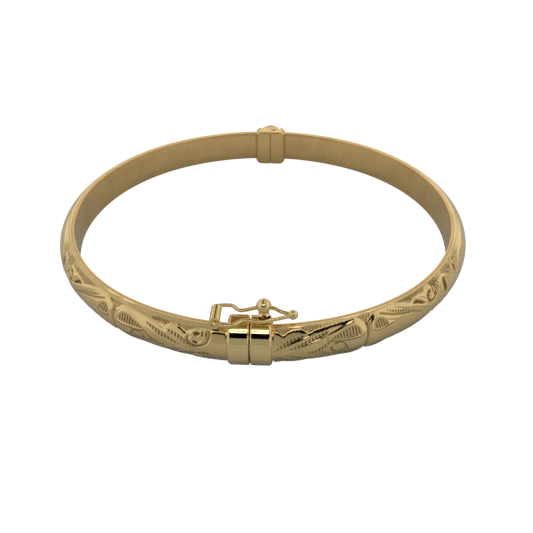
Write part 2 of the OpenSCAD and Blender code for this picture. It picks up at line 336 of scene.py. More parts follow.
# routes are (along, across) in millimetres: along from the knot of the pattern, up from the middle of the dome
# one spray of leaves runs from the knot to the clasp and another away from it; both show again upside down below
embossing = {
    "knotRight": 16.0, "knotLeft": 20.1, "liftRight": 0.0, "liftLeft": -0.42, "lowerLift": 0.35,
    "fadeRight": (20.0, 25.5), "fadeLeft": (15.5, 20.5), "outerShare": 0.9, "lowerShare": 0.75,
    "calmTilt": 29.0, "darkTilt": 41.0, "brightTilt": 48.0, "darkFrom": 0.47, "darkTo": 0.13,
    "groundSink": 0.05, "beadPitch": 0.36, "beadHeight": 0.07,
    "upperFade": (-1.3, -0.9), "lowerFade": (0.1, -0.6), "lowerStart": 0.2, "rimCalm": (3.75, 3.45),
    "knotDepth": 0.24, "knotWidth": 0.17, "knotTop": (2.6, 2.2), "swell": 0.12, "swellAt": 1.6, "swellWidth": 1.3,
    "plainUpTo": 3.05, "fullFrom": 3.4, "rimLine": 3.42, "rimWidth": 0.15, "rimHeight": 0.035,
}
# the waved upper edge of the raised work; above it lies the sunk ground
claspEdge = [(0, 2.0), (0.35, 2.45), (0.9, 2.98), (1.8, 3.22), (4.0, 3.12), (6.0, 2.95), (7.4, 2.72),
             (8.0, 2.5), (8.25, 2.4), (8.55, 2.7), (9.2, 3.02), (10.3, 3.05), (11.0, 2.8), (11.4, 2.5),
             (11.6, 2.4), (11.8, 2.5), (12.2, 2.8), (12.9, 3.02), (14.5, 3.1)]
outerEdge = [(0, 2.0), (0.4, 2.75), (1.2, 3.2), (2.4, 3.3), (4.5, 3.35), (6.5, 3.0), (7.6, 2.75),
             (8.1, 2.7), (9.4, 3.0), (10.4, 2.7), (11.0, 3.0), (12.2, 3.15), (12.9, 2.5), (13.5, 2.2),
             (14.4, 2.8), (15.6, 3.15), (16.6, 2.8), (17.6, 2.3), (18.6, 2.8), (20.0, 3.1), (22.0, 2.9),
             (34.0, 2.9)]
# a stroke is its kind, its route and the values that this kind takes in Relief below
claspSpray = [
    ("field", [(1.0, 1.15), (1.05, 1.8), (1.6, 2.32), (2.6, 2.35), (3.8, 1.95), (5.4, 1.25),
               (4.6, 1.08), (2.8, 1.0)], 0.15, 0.43, 0.0),
    ("softLine", [(0.35, 1.9), (0.8, 2.5), (1.6, 2.78), (2.6, 2.7), (3.8, 2.35), (5.2, 1.9),
                  (6.2, 1.6)], 0.17, 0.042),
    ("groove", [(0.45, 1.1), (1.2, 0.75), (2.8, 0.72), (4.6, 0.85), (6.0, 1.2)], 0.11, 0.07),
    ("strip", [(5.4, 2.42), (6.4, 2.08), (7.3, 1.75), (8.4, 1.35), (9.6, 0.9), (11.0, 0.35)], 0.34, 0.5, 0.13),
    ("strip", [(8.7, 2.32), (9.8, 2.0), (10.9, 1.55), (11.8, 0.95), (12.9, 0.2)], 0.33, 0.5, 0.13),
    ("strip", [(5.3, 1.05), (6.0, 0.5), (6.7, 0.05), (7.5, -0.32), (8.7, -0.3)], 0.32, 0.48, 0.10),
    ("swellLine", [(5.8, 1.75), (8.0, 0.95), (10.0, 0.25), (12.4, -0.6)], 0.34, 0.11),
    ("swellLine", [(8.0, 2.15), (9.4, 1.55), (11.0, 0.85), (12.6, -0.1)], 0.28, 0.10),
    ("groove", [(5.05, 0.3), (5.25, -0.3), (4.6, -1.2)], 0.14, 0.10),
    ("groove", [(5.0, 0.35), (4.3, 0.6), (3.5, 0.35), (3.1, -0.4), (2.7, -1.4)], 0.12, 0.10),
    ("bars", [(6.3, 3.0), (7.6, 2.95), (8.3, 2.65), (9.0, 3.1), (8.8, 3.5), (6.3, 3.5)], 0.11, 0.34, 0.25),
    ("bars", [(10.6, 3.1), (11.6, 2.6), (12.6, 3.15), (12.4, 3.5), (10.8, 3.5)], 0.12, 0.33, -0.2),
]
outerSpray = [
    ("field", [(0.9, 1.25), (1.2, 2.0), (1.75, 2.38), (2.4, 2.25), (3.0, 1.7), (3.25, 1.1),
               (2.4, 0.98), (1.4, 0.98)], 0.15, 0.4, 0.15),
    ("softLine", [(0.4, 1.5), (0.9, 2.3), (1.6, 2.6), (2.5, 2.35), (3.4, 1.95), (4.6, 1.6),
                  (5.6, 1.35)], 0.16, 0.05),
    ("groove", [(0.5, 1.2), (1.3, 0.82), (2.4, 0.8), (3.5, 1.0), (4.4, 1.0)], 0.11, 0.12),
    ("groove", [(1.8, 3.0), (3.0, 2.62), (4.0, 2.25), (5.4, 1.8), (7.4, 1.3)], 0.10, 0.12),
    ("strip", [(3.1, 3.1), (4.3, 2.6), (5.4, 2.15), (6.6, 1.75), (8.0, 1.15), (9.8, 0.4)], 0.33, 0.46, 0.14),
    ("swellLine", [(3.9, 3.3), (5.5, 2.88), (7.0, 2.35), (9.0, 1.55), (11.0, 0.6), (12.8, -0.4)], 0.4, 0.17),
    ("strip", [(5.0, 3.42), (6.2, 3.28), (7.1, 3.1), (8.0, 2.8)], 0.2, 0.44, 0.12),
    ("bars", [(5.6, 3.3), (6.6, 2.95), (7.4, 2.55), (8.0, 2.7), (8.6, 2.95), (9.8, 2.95), (11.0, 3.1),
              (11.0, 3.6), (5.6, 3.6)], 0.12, 0.36, 0.3),
    ("pit", [(8.0, 2.25), (8.5, 2.55), (9.2, 2.4), (9.9, 1.9), (10.5, 1.3), (9.7, 1.5), (8.8, 1.95)], 0.2),
    ("swellLine", [(8.0, 2.75), (9.4, 2.85), (10.6, 2.2), (11.0, 1.4)], 0.28, 0.12),
    ("groove", [(11.95, 2.5), (11.5, 2.4), (11.15, 1.9), (11.25, 1.35), (11.7, 1.0), (12.3, 1.05),
                (12.75, 1.5), (12.8, 2.0)], 0.2, 0.2),
    ("pit", [(11.6, 2.2), (11.6, 2.6), (12.0, 2.65), (12.1, 2.3), (11.9, 2.1)], 0.12),
    ("bars", [(12.7, 1.5), (12.6, 3.6), (14.7, 3.6), (14.4, 2.7), (13.9, 1.7)], 0.15, 0.42, 0.12),
    ("pit", [(15.1, 1.3), (15.2, 2.2), (15.65, 2.7), (16.15, 2.35), (16.2, 1.3), (15.85, 0.3),
             (15.4, 0.4)], 0.24),
    ("bars", [(16.7, 1.2), (16.6, 3.6), (19.0, 3.6), (18.4, 2.0), (17.6, 1.1)], 0.15, 0.42, 0.2),
    ("pit", [(19.2, 2.7), (19.6, 2.9), (19.9, 2.3), (19.9, 1.4), (19.4, 1.8)], 0.2),
    ("groove", [(20.2, 2.4), (20.4, 3.1), (21.2, 3.15), (21.4, 2.6), (20.9, 2.2)], 0.18, 0.14),
    ("bars", [(21.8, 2.8), (22.0, 3.45), (24.0, 3.45), (23.4, 2.8)], 0.08, 0.36, 0.2),
    ("swellLine", [(20.5, 1.6), (23.5, 2.35), (26.5, 2.3), (30.0, 1.1), (33.0, -0.6)], 0.7, 0.14),
]
endScroll = [
    ("groove", [(12.2, 2.3), (11.8, 1.6), (12.3, 0.95), (13.4, 0.85), (14.4, 1.35), (14.8, 2.4),
                (14.6, 3.2)], 0.16, 0.16),
    ("swellLine", [(12.5, 2.0), (12.6, 1.4), (13.4, 1.2), (14.1, 1.7)], 0.3, 0.16),
    ("pit", [(12.5, 2.35), (12.8, 2.75), (13.4, 2.75), (13.5, 2.45), (13.0, 2.2)], 0.3),
    ("pit", [(13.7, 2.2), (13.7, 2.9), (13.95, 2.9), (13.95, 2.2)], 0.24),
    ("pit", [(14.25, 2.2), (14.25, 2.9), (14.5, 2.9), (14.5, 2.2)], 0.24),
    ("strip", [(13.0, -0.6), (14.2, -0.4), (15.4, -0.9)], 0.4, 0.5, 0.1),
]


def smoothStep(low, high, x):
    u = np.clip((x - low) / (high - low), 0, 1)
    return u * u * (3 - 2 * u)


def roundRoute(route, fine=6, closed=False):
    # rounds a given route by a spline through its points
    if closed:
        ends = [route[-1]] + list(route) + [route[0], route[1]]
    else:
        ends = [route[0]] + list(route) + [route[-1]]
    p = np.array(ends, float)
    out = []
    for i in range(1, len(p) - 2):
        a, b, c, d = p[i - 1:i + 3]
        for u in np.linspace(0, 1, fine, endpoint=False):
            square, cube = 2 * a - 5 * b + 4 * c - d, 3 * b - a - 3 * c + d
            out.append(0.5 * (2 * b + (c - a) * u + square * u * u + cube * u ** 3))
    out.append(p[-2])
    return np.array(out)


def nearRoute(a, t, pts):
    # distance to the route, share of the way along it, millimetres along it, and side (1 on its left)
    best, run, side, total = np.full(a.shape, 99.0), np.zeros(a.shape), np.ones(a.shape), 0.0
    for p, q in zip(pts[:-1], pts[1:]):
        dx, dy = q - p
        length = math.hypot(dx, dy)
        if length < 1e-6:
            continue
        u = np.clip(((a - p[0]) * dx + (t - p[1]) * dy) / length ** 2, 0, 1)
        gx, gy = a - p[0] - u * dx, t - p[1] - u * dy
        d = np.hypot(gx, gy)
        near = d < best
        best = np.where(near, d, best)
        run = np.where(near, total + u * length, run)
        side = np.where(near, np.sign(dx * gy - dy * gx), side)
        total += length
    return best, run / total, run, side


def insideLoop(a, t, pts):
    # true inside a closed route
    inside = np.zeros(a.shape, bool)
    for p, q in zip(pts[:-1], pts[1:]):
        if p[1] == q[1]:
            continue
        crossing = (t > min(p[1], q[1])) & (t <= max(p[1], q[1]))
        reach = p[0] + (t - p[1]) * (q[0] - p[0]) / (q[1] - p[1])
        inside ^= crossing & (a < reach)
    return inside


class Relief:
    # gathers height and the shade painted into the hollows over the points (a, t)
    def __init__(self, a, t):
        self.a, self.t = a, t
        self.h, self.dark = np.zeros(a.shape), np.zeros(a.shape)

    def pick(self, pts, reach):
        lo, hi = pts.min(0) - reach, pts.max(0) + reach
        return (self.a > lo[0]) & (self.a < hi[0]) & (self.t > lo[1]) & (self.t < hi[1])

    # paints shade: each point keeps the darkest value painted on it
    def shade(self, chosen, value):
        self.dark[chosen] = np.maximum(self.dark[chosen], value)

    def plateau(self, edge, share, lift):
        # holds the ground at a steady tilt up to the waved edge, rolls it over there, then drops, and paints shade on
        # the sunk ground above it
        t = self.t + lift
        along, across = zip(*edge)
        top = np.interp(self.a, along, across) + lift
        calm, dark, bright = (math.radians(embossing[key]) for key in ("calmTilt", "darkTilt", "brightTilt"))
        before, after = embossing["darkFrom"], embossing["darkTo"]
        radius = band["domeRadius"]
        start = radius * calm

        def ramp(x):
            return np.clip(x, 0, None) ** 2 / 2

        bend = (dark - calm) / (before - after) * (ramp(t - top + before) - ramp(t - top + after))
        bend += (bright - dark) / (2 * after) * ramp(t - top + after)
        height = np.where(t > start, (t * t - start * start) / (2 * radius) - calm * (t - start) - bend, 0)
        self.h += share * height * smoothStep(0.34, 0.03, t - top)
        ground = smoothStep(0.05, 0.35, t - top)
        self.h -= embossing["groundSink"] * ground
        self.shade(slice(None), 0.3 * ground * smoothStep(3.6, 3.3, t))

    def alongRoute(self, route, reach):
        pts = roundRoute(route)
        chosen = self.pick(pts, reach)
        return (chosen,) + nearRoute(self.a[chosen], self.t[chosen], pts)

    def softLine(self, route, width, height):
        chosen, d, share, run, side = self.alongRoute(route, 4 * width)
        taper = smoothStep(0, 0.1, share) * smoothStep(0, 0.1, 1 - share)
        self.h[chosen] += height * np.exp(-(d / width) ** 2) * taper

    def groove(self, route, width, depth):
        chosen, d, share, run, side = self.alongRoute(route, 4 * width)
        taper = smoothStep(0, 0.1, share) * smoothStep(0, 0.1, 1 - share)
        core = np.exp(-(d / width) ** 2) * taper
        self.h[chosen] += 0.25 * depth * np.exp(-((d - 2 * width) / width) ** 2) * taper - 0.65 * depth * core
        # shade painted along the groove's core
        self.shade(chosen, 0.85 * core)

    def swellLine(self, route, width, height):
        chosen, d, share, run, side = self.alongRoute(route, width + 0.2)
        w = width * np.sin(math.pi * np.clip(share, 0.001, 0.999)) ** 0.6
        rel = np.clip(d / np.maximum(w, 0.02), 0, 1)
        self.h[chosen] += 0.6 * height * (1 - rel ** 2) ** 1.4 * np.minimum(1, w / (0.6 * width))

    def strip(self, route, width, pitch, depth):
        # a ribbon crossed by struck notches, with a raised line on each side, and shade painted into the ribbon and
        # its notches
        chosen, d, share, run, side = self.alongRoute(route, width + 0.4)
        w = width * np.sin(math.pi * np.clip(share, 0.001, 0.999)) ** 0.45
        inside = smoothStep(w, w - 0.3, d)
        notch = smoothStep(-0.2, 0.75, np.cos(2 * math.pi * (run + 0.5 * d * side) / pitch))
        edge = 0.014 * np.exp(-((d - w - 0.06) / 0.12) ** 2) * smoothStep(0, 0.1, w)
        self.h[chosen] += edge - 0.35 * depth * inside * notch - 0.02 * inside
        self.shade(chosen, smoothStep(w, w - 0.14, d) * (0.12 + 0.88 * notch))

    def area(self, route, reach=0.5):
        pts = roundRoute(route, closed=True)
        chosen = self.pick(pts, reach)
        a, t = self.a[chosen], self.t[chosen]
        d = nearRoute(a, t, pts)[0]
        return chosen, a, t, np.where(insideLoop(a, t, pts), d, -d)

    def field(self, route, depth, pitch, lean):
        # a leaf: plump border round a sunk belly with struck bars, with shade painted into the belly and bars
        chosen, a, t, d = self.area(route)
        inside = smoothStep(0.0, 0.3, d)
        notch = smoothStep(-0.25, 0.7, np.cos(2 * math.pi * (a + lean * t) / pitch))
        belly = 0.04 * smoothStep(0.1, 0.6, d)
        self.h[chosen] += inside * (belly - 0.06 - 0.65 * depth * notch) + 0.05 * np.exp(-((d + 0.2) / 0.17) ** 2)
        self.shade(chosen, smoothStep(0.0, 0.12, d) * (0.1 + 0.9 * notch))

    def bars(self, route, depth, pitch, lean):
        chosen, a, t, d = self.area(route, 0.1)
        inside = smoothStep(0.0, 0.12, d)
        notch = smoothStep(-0.3, 0.8, np.cos(2 * math.pi * (a + lean * (t - 2) ** 2) / pitch))
        self.h[chosen] += inside * (0.04 - depth * notch)
        # shade painted into the bars
        self.shade(chosen, 0.95 * inside * notch)

    def pit(self, route, depth):
        chosen, a, t, d = self.area(route)
        inside = smoothStep(0.0, 0.17, d)
        self.h[chosen] += 0.05 * np.exp(-((d + 0.14) / 0.12) ** 2) - depth * inside
        # shade painted into the pit
        self.shade(chosen, 0.95 * inside)


def sprayRelief(along, across, strokes, edge, share, lift):
    r = Relief(along, across)
    r.plateau(edge, share, lift)
    for kind, *values in strokes:
        getattr(r, kind)(*values)
    # small beads in a wedge over the knot, with shade painted between them
    pitch = embossing["beadPitch"]
    wedge = smoothStep(0.0, 0.15, (across - 2.15) * 0.85 - along) * smoothStep(3.5, 3.4, across)
    row = np.cos(2 * math.pi * (along + 0.5 * across) / pitch) * np.cos(2 * math.pi * across / pitch)
    r.h += wedge * embossing["beadHeight"] * row
    r.dark = np.maximum(r.dark, wedge * smoothStep(0.1, -0.6, row))
    return r.h, r.dark


def emboss(piece, left):
    # presses the pattern into a shell and paints shade into its hollows
    e = embossing
    sign = -1.0 if left else 1.0
    mesh = piece.data
    count = len(mesh.vertices)
    flat = np.empty(count * 3)
    mesh.vertices.foreach_get("co", flat)
    xyz = flat.reshape(-1, 3) / mm
    s, depth, dirX, dirY = bandPlace(xyz * np.array([sign, 1, 1]))
    z = xyz[:, 2] - oval["midHeight"]
    top = band["halfHeight"]
    onDome = (depth < band["dome"] + 0.005) & (np.abs(z) <= top + 1e-4)
    t = np.interp(z, domeZ, domeT)
    out, up = np.interp(z, domeZ, domeOut), np.interp(z, domeZ, domeUp)
    half = "Left" if left else "Right"
    knot, lift, fade = (e[key + half] for key in ("knot", "lift", "fade"))
    d = s - knot
    h, dark = np.zeros(count), np.zeros(count)
    for toClasp in (True, False):
        strokes = claspSpray + (endScroll if left else []) if toClasp else outerSpray
        edge, share = (claspEdge, 1.0) if toClasp else (outerEdge, e["outerShare"])
        for upper in (True, False):
            pick = onDome & ((d < 0) == toClasp) & (s < band["patternLength"])
            pick &= (t >= e["upperFade"][0]) if upper else (t < e["lowerStart"])
            a, tHere = np.abs(d[pick]), t[pick]
            if upper:
                gained, shade = sprayRelief(a, tHere - lift, strokes, edge, share, lift)
                blend = smoothStep(*e["upperFade"], tHere)
            else:
                gained, shade = sprayRelief(a, -tHere - e["lowerLift"], strokes, edge, share, e["lowerLift"])
                blend = e["lowerShare"] * smoothStep(*e["lowerFade"], tHere)
            if not toClasp:
                blend = blend * (1 - smoothStep(*fade, a))
            h[pick] += gained * blend
            dark[pick] = np.maximum(dark[pick], shade * blend)
    # the knot: a waist all the way down, with a swell to each side and shade painted into the waist
    waist = np.exp(-((d - 0.12 * np.sin(1.2 * t)) / e["knotWidth"]) ** 2)
    waist = waist * smoothStep(e["knotTop"][0] + lift, e["knotTop"][1] + lift, t)
    swell = np.exp(-((np.abs(d) - e["swellAt"]) / e["swellWidth"]) ** 2)
    h += onDome * (e["swell"] * swell - e["knotDepth"] * waist)
    dark = np.maximum(dark, 0.6 * waist * onDome)
    # calm beside the block and at the rims, where a soft bead runs along the edge
    settle = smoothStep(e["plainUpTo"], e["fullFrom"], s) * smoothStep(*e["rimCalm"], np.abs(t))
    h = h * settle
    dark = dark * settle
    bead = np.exp(-((np.abs(t) - e["rimLine"]) / e["rimWidth"]) ** 2)
    h += e["rimHeight"] * bead * onDome * smoothStep(3.0, 4.0, s)
    moved = xyz.copy()
    moved[:, 0] += sign * h * out * dirX
    moved[:, 1] += h * out * dirY
    moved[:, 2] += np.where(onDome, h * up, 0)
    mesh.vertices.foreach_set("co", (moved * mm).ravel())
    # the painted shade of the hollows, stored on the mesh
    mark = mesh.attributes.new("hollowShadeMask", "FLOAT", "POINT")  # read by the embossed gold
    mark.data.foreach_set("value", np.clip(dark, 0, 1))
    mesh.update()


def buildShell(left):
    back, seam, top = band["depth"] - band["liner"], band["seamRound"], band["halfHeight"]
    upperEdge = [(band["dome"] + 0.1, top), (back - seam, top),
                 (back - 0.3 * seam, top - 0.3 * seam), (back, top - seam)]
    loop = list(zip(domeDepth, domeZ)) + upperEdge + [(d, -z) for d, z in upperEdge[::-1]]
    frontSteps = round((frontLength - oval["startX"]) / band["patternStep"])
    patterned = (band["patternLength"] - frontLength) / sideLength
    sideSplit = [(share, round(share * sideLength / step))
                 for share, step in ((patterned, band["patternStep"]), (1 - patterned, band["plainStep"]))]
    bm = sweepHalf(left, loop, frontSteps, sideSplit, round(frontLength / band["plainStep"]))
    side = "left" if left else "right"
    piece = newObject(side + "EmbossedShell", bm)
    emboss(piece, left)
    finish(piece, side + "_half", embossedGold, side + "_outer_shell")


def buildLiner(left):
    outer, inner, top = band["depth"] - band["liner"], band["depth"], band["halfHeight"]
    r, seam, row = band["edgeRound"], band["seamRound"], band["linerRow"]
    rim = [(outer, top - seam), (outer + 0.3 * seam, top - 0.3 * seam), (outer + seam, top),
           (inner - 2 * r, top), (inner - 0.6 * r, top - 0.6 * r), (inner, top - 2 * r)]
    loop = rim + [(inner, h) for h in (row, 0.0, -row)]
    loop += [(d, -h) for d, h in rim[::-1]] + [(outer, -row), (outer, row)]
    endSteps = band["linerEndSteps"]
    bm = sweepHalf(left, loop, endSteps, [(1.0, band["linerSideSteps"])], endSteps)
    side = "left" if left else "right"
    piece = newObject(side + "Liner", bm)
    finish(piece, side + "_half", linerGold, side + "_inner_liner")


for isLeft in (True, False):
    buildShell(isLeft)
    buildLiner(isLeft)
print("band built")

# softened ends are (along X, up Z, out Y) half axes of a quarter ellipse
block = {
    "inner": 27.333, "outer": 31.533, "height": 7.0, "width": 2.95, "domeRadius": 4.1, "domeSteps": 36,
    "crease": 0.16, "innerRound": 0.3, "endSteps": 9,
    "claspGap": 0.065, "claspShoulder": (0.5, 0.85, 0.4), "claspSeam": (0.25, 0.3, 0.22),
    "hingeGap": 0.03, "hingeShoulder": (1.15, 1.15, 0.55), "hingeSeam": (0.3, 0.06, 0.14),
}


def buildBlock(name, left, hinge):
    # a D-shaped section laid along X, with softened ends
    b = block
    bm = bmesh.new()
    mid, radius = b["height"] / 2, b["domeRadius"]
    centreY = b["outer"] - radius
    half = math.asin(mid / radius)
    start = bm.verts.new((0, centreY + radius * math.cos(half), 0))
    bmesh.ops.spin(bm, geom=[start], cent=(0, centreY, mid), axis=(1, 0, 0), angle=2 * half,
                   steps=b["domeSteps"])
    bm.verts.ensure_lookup_table()
    low = min(bm.verts, key=lambda v: v.co.z)
    high = max(bm.verts, key=lambda v: v.co.z)
    corners = [bm.verts.new((0, b["inner"], z)) for z in (0, b["height"])]
    for pair in ((low, corners[0]), corners, (corners[1], high)):
        bm.edges.new(pair)
    bmesh.ops.contextual_create(bm, geom=bm.edges[:])
    roundOff(bm, [low, high], b["crease"], 5)
    roundOff(bm, [v for v in bm.verts if abs(v.co.y - b["inner"]) < 1e-4], b["innerRound"], 5)
    gap, seam, shoulder = (b[("hinge" if hinge else "clasp") + part] for part in ("Gap", "Seam", "Shoulder"))
    turns = [math.pi / 2 * i / b["endSteps"] for i in range(b["endSteps"] + 1)]
    stations = [(gap + seam[0] * (1 - math.cos(turn)), seam, 1 - math.sin(turn)) for turn in turns]
    stations += [(b["width"] - shoulder[0] * (1 - math.sin(turn)), shoulder, 1 - math.cos(turn)) for turn in turns]
    depth = b["outer"] - b["inner"]
    centre = Matrix.Translation((0, -(b["inner"] + depth / 2), -mid))
    last = (0.0, 1.0, 1.0)
    face = bm.faces[:]
    for x, size, share in stations:
        scaleY, scaleZ = 1 - 2 * size[2] * share / depth, 1 - size[1] * share / mid
        if last[0]:
            made = bmesh.ops.extrude_face_region(bm, geom=face)["geom"]
            face = [f for f in made if isinstance(f, bmesh.types.BMFace)]
        verts = face[0].verts[:]
        bmesh.ops.translate(bm, vec=(x - last[0], 0, 0), verts=verts)
        bmesh.ops.scale(bm, vec=Vector((1, scaleY / last[1], scaleZ / last[2])), space=centre, verts=verts)
        last = (x, scaleY, scaleZ)
    flip = Vector((-1 if left else 1, 1 if hinge else -1, 1))
    bmesh.ops.scale(bm, vec=flip, verts=bm.verts[:])
    return newObject(name, bm)


clasp = {
    "boxFloor": 3.6, "boxDepth": 2.5, "pocketFloor": 4.3, "pocketDepth": 2.5,
    "slotLow": (1.13, -28.67, 6), "slotHigh": (2.6, -27.5, 8),
    "cavity": [(-27.78, 6.45), (-29.9, 6.45), (-30.2, 6.15), (-30.5, 5.6)],
    "lipLow": (-0.5, -29.95, 5.95), "lipHigh": (-0.23, -27.7, 6.5), "lipRound": 0.07,
}


def cavityCutter(low, high, floor):
    # the hollow behind the domed front: its front wall leans back at the top
    walls = clasp["cavity"]
    outline = walls + [(walls[-1][0], floor), (walls[0][0], floor)]
    return prismCutter([(low, y, z) for y, z in outline], (high - low, 0, 0))


def finishBlock(piece, body, node):
    finish(piece, body, hingeGold if "hinge" in node else polishedGold, node)


claspBox = buildBlock("claspBox", True, False)
cut(claspBox, [cavityCutter(-clasp["boxDepth"], 1, clasp["boxFloor"])])
finishBlock(claspBox, "left_half", "clasp_box")
tongueBlock = buildBlock("tongueBlock", False, False)
cut(tongueBlock, [
    cavityCutter(-1, clasp["pocketDepth"], clasp["pocketFloor"]),
    boxCutter(clasp["slotLow"], clasp["slotHigh"]),
])
finishBlock(tongueBlock, "right_half", "tongue_block")
bm = boxBetween(clasp["lipLow"], clasp["lipHigh"])
roundOff(bm, bm.edges[:], clasp["lipRound"], 3, "EDGES")
lip = newObject("boxCatchLip", bm)
finish(lip, "left_half", springGold, "box_catch_lip")

hinge = {
    "pinY": 29.783, "knuckle": 1.75, "bore": 0.52, "clear": 0.12, "gap": 0.05,
    "foot": 0.02, "low": 2.2, "high": 4.8, "top": 6.98, "outerRound": 1.0,
    "reliefAngle": 38.0, "reliefReach": 6,
    "pin": [(0, 0.0), (0.42, 0.0), (0.5, 0.1), (0.5, 6.8), (0.46, 6.9), (0.3, 6.98), (0, 7.0)],  # (radius, height)
}


def drumCutter(radius, low, high):
    bm = bmesh.new()
    bmesh.ops.create_cone(bm, cap_ends=True, segments=96, radius1=radius, radius2=radius, depth=high - low)
    bmesh.ops.translate(bm, vec=(0, hinge["pinY"], (low + high) / 2), verts=bm.verts[:])
    return newObject("cutter", bm, smooth=False)


def reliefCutter():
    # the outward notch that lets the halves turn
    reach = hinge["reliefReach"]
    half = reach * math.tan(math.radians(hinge["reliefAngle"]))
    corners = [(x, hinge["pinY"] + y, -1) for x, y in ((0, 0), (half, reach), (-half, reach))]
    return prismCutter(corners, (0, 0, 9))


def buildTurned(name, profile, origin, turn=None):
    # spins (radius, height) points round the Z axis, then lays the result in place
    bm = bmesh.new()
    verts = [bm.verts.new((r, 0, z)) for r, z in profile]
    edges = [bm.edges.new(pair) for pair in zip(verts, verts[1:])]
    bmesh.ops.spin(bm, geom=verts + edges, cent=(0, 0, 0), axis=(0, 0, 1), angle=2 * math.pi, steps=48,
                   use_merge=True)
    bmesh.ops.remove_doubles(bm, verts=bm.verts[:], dist=1e-5)
    if turn:
        bmesh.ops.rotate(bm, verts=bm.verts[:], cent=(0, 0, 0), matrix=turn)
    bmesh.ops.translate(bm, vec=Vector(origin), verts=bm.verts[:])
    return newObject(name, bm)


low, high, gap = hinge["low"], hinge["high"], hinge["gap"]
for isLeft in (True, False):
    side = "left" if isLeft else "right"
    piece = buildBlock(side + "HingeBlock", isLeft, True)
    wide = hinge["knuckle"] + hinge["clear"]
    if isLeft:
        clearances = [drumCutter(wide, low - gap, high + gap)]
    else:
        clearances = [drumCutter(wide, -1, low), drumCutter(wide, high, 8)]
    cut(piece, [reliefCutter()] + clearances)
    finishBlock(piece, side + "_half", side + "_hinge_block")


def buildKnuckle(name, body, low, high, node, roundLow=0.08, roundHigh=0.08):
    # a barrel with softened ends; the outer ends are well rounded
    r, bore = hinge["knuckle"], hinge["bore"]
    profile = [(bore, low)]
    for size, z, way in ((roundLow, low, 1), (roundHigh, high, -1)):
        turns = [i / 8 * math.pi / 2 for i in range(9)]
        arc = [(r - size * (1 - math.sin(u)), z + way * size * 0.9 * (1 - math.cos(u))) for u in turns]
        profile += arc if way > 0 else arc[::-1]
    profile += [(bore, high), (bore, low)]
    piece = buildTurned(name, profile, (0, hinge["pinY"], 0))
    finish(piece, body, hingeGold, node)


rounded = hinge["outerRound"]
buildKnuckle("upperKnuckle", "left_half", high + gap, hinge["top"], "hinge_knuckle_upper", roundHigh=rounded)
buildKnuckle("lowerKnuckle", "left_half", hinge["foot"], low - gap, "hinge_knuckle_lower", roundLow=rounded)
buildKnuckle("centreKnuckle", "right_half", low, high, "hinge_knuckle_centre")
pin = buildTurned("hingePin", hinge["pin"], (0, hinge["pinY"], 0))
finish(pin, "left_half", polishedGold, "hinge_pin")
print("blocks built")

# the stem is (radius, height) points: a thin foot in the slot, a wider shank, and a flare under the ball
thumb = {
    "x": 1.75, "y": -28.05, "ballHeight": 9.0, "ballRadius": 0.98,
    "stem": [(0, 5.76), (0.3, 5.76), (0.3, 6.6), (0.45, 6.75), (0.45, 7.6), (0.6, 7.58), (0.69, 7.58),
             (0.74, 7.62), (0.74, 7.67), (0.7, 7.72), (0.62, 7.8), (0.53, 7.95), (0.47, 8.1), (0.46, 8.2),
             (0.46, 8.5), (0, 8.5)],
}
# front and back are the (x, y) runs of the figure-eight; tubeEnd is (inset from the outer radius, distance in)
safety = {
    "height": 7.35, "wireRadius": 0.255, "wireFine": 14,
    "pivotX": -4.5, "tubeMiddle": -28.15, "tubeLength": 2.9, "tubeRadius": 0.7,
    "tubeEnd": [(0.41, 0), (0.3, 0), (0.1, 0), (0.03, 0.04), (0, 0.14), (0, 0.2)],
    "front": [(-4.5, -29.1), (-4.5, -29.6), (-4.37, -29.98), (-4.0, -30.12), (-2.3, -30.12), (-0.9, -29.08),
              (0.2, -29.12), (1.2, -29.27), (2.0, -29.16), (2.9, -28.82), (3.9, -28.45), (5.2, -27.95)],
    "back": [(-4.5, -27.1), (-4.5, -26.8), (-4.4, -26.44), (-4.05, -26.26), (-3.2, -26.2), (-2.4, -26.3),
             (-1.3, -27.16), (0.8, -26.5), (2.8, -26.47), (4.0, -27.2), (5.2, -27.6)],
    "endBall": (5.5, -27.7), "endRadius": 0.65,
}


def buildBall(name, centre, radius):
    bm = bmesh.new()
    bmesh.ops.create_uvsphere(bm, u_segments=56, v_segments=36, radius=radius)
    bmesh.ops.translate(bm, vec=Vector(centre), verts=bm.verts[:])
    return newObject(name, bm)


def buildWire(name, route, radius, height):
    # round wire along the route, with soft bends and closed ends
    curve = bpy.data.curves.new(name, "CURVE")
    curve.dimensions = "3D"
    curve.bevel_depth = radius * mm
    curve.bevel_resolution = 8
    curve.use_fill_caps = True
    pts = roundRoute(route, safety["wireFine"])
    line = curve.splines.new("POLY")
    line.points.add(len(pts) - 1)
    for p, (x, y) in zip(line.points, pts):
        p.co = (x * mm, y * mm, height * mm, 1)
    holder = linkObject(name, curve)
    graph = bpy.context.evaluated_depsgraph_get()
    mesh = bpy.data.meshes.new_from_object(holder.evaluated_get(graph))
    bpy.data.objects.remove(holder)
    bpy.data.curves.remove(curve)
    mesh.name = name
    mesh.polygons.foreach_set("use_smooth", [True] * len(mesh.polygons))
    return linkObject(name, mesh)


ball = buildBall("thumbBall", (thumb["x"], thumb["y"], thumb["ballHeight"]), thumb["ballRadius"])
finish(ball, "thumb_catch", wireGold, "thumb_ball")
stem = buildTurned("thumbPost", thumb["stem"], (thumb["x"], thumb["y"], 0))
finish(stem, "thumb_catch", wireGold, "thumb_post")

